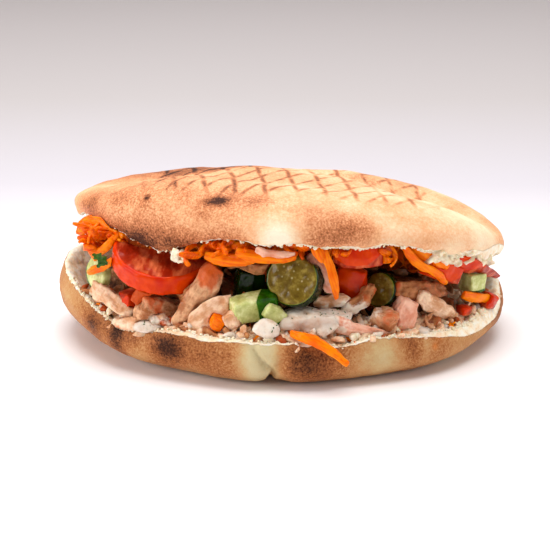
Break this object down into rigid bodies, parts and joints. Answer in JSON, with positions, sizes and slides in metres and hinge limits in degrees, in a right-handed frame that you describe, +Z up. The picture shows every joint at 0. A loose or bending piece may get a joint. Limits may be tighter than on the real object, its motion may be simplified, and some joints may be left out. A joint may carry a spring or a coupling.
{
  "type": "doner kebab sandwich",
  "caption": "Round flatbread cut open like a clam on a hinge of crust, filled with sliced chicken, grated carrot, tomato, cucumber and white sauce.",
  "frame": {"origin": "centre of the sandwich's box, at the level of the surface it rests on", "axes": "+X to the right along the long side of the mouth, +Y from the mouth towards the hinge, +Z up"},
  "size_m": [0.2014, 0.1638, 0.0798],
  "materials": {
    "bread": "baked crust, toasted brown in patches, with pale torn crumb at the cut edge",
    "chicken": "grilled meat, moist and slightly glossy",
    "pale_chicken": "white meat, moist",
    "carrot": "raw grated carrot, wet",
    "tomato": "ripe tomato flesh and skin, wet",
    "cucumber": "pale flesh with a dark green rind, wet",
    "sauce": "thick white yoghurt sauce with herbs"
  },
  "bodies": {
    "root": {"bread": "bread", "carrot_curl_back": "carrot", "carrot_curl_big": "carrot", "carrot_curl_low": "carrot", "carrot_curl_top": "carrot", "carrot_dice": "carrot", "carrot_end_right": "carrot", "carrot_hanging": "carrot", "carrot_hanging_short": "carrot", "carrot_shred_left": "carrot", "carrot_shred_right": "carrot", "carrot_stick": "carrot", "carrot_strand_right": "carrot", "carrot_upper_left": "carrot", "carrot_upper_middle": "carrot", "chicken_chunk_left": "chicken", "chicken_chunk_right": "pale_chicken", "chicken_cube_right": "chicken", "chicken_curl": "pale_chicken", "chicken_dice": "pale_chicken", "chicken_flake_left": "pale_chicken", "chicken_flake_middle": "chicken", "chicken_flake_right": "chicken", "chicken_flap_left": "chicken", "chicken_rim_left": "pale_chicken", "chicken_shred_left": "pale_chicken", "chicken_shred_low": "pale_chicken", "chicken_shred_middle": "chicken", "chicken_slice_pink": "pale_chicken", "chicken_strip_big": "chicken", "chicken_strip_right": "pale_chicken", "chicken_upper_flake": "pale_chicken", "chicken_upper_middle": "pale_chicken", "chicken_upper_strip": "chicken", "cucumber_chunk": "cucumber", "cucumber_cube": "cucumber", "cucumber_cube_right": "cucumber", "cucumber_half": "cucumber", "cucumber_shaded": "cucumber", "cucumber_slab_left": "cucumber", "cucumber_slice_middle": "cucumber", "meat_heap": "chicken", "salad_heap": "carrot", "sauce_blob": "sauce", "sauce_left": "sauce", "sauce_pool": "sauce", "tomato_bit_front": "tomato", "tomato_bit_rim": "tomato", "tomato_chunk_right": "tomato", "tomato_inner": "tomato", "tomato_piece_left": "tomato", "tomato_slice_left": "tomato", "tomato_slice_right": "tomato", "tomato_strip": "tomato"}
  },
  "joints": []
}
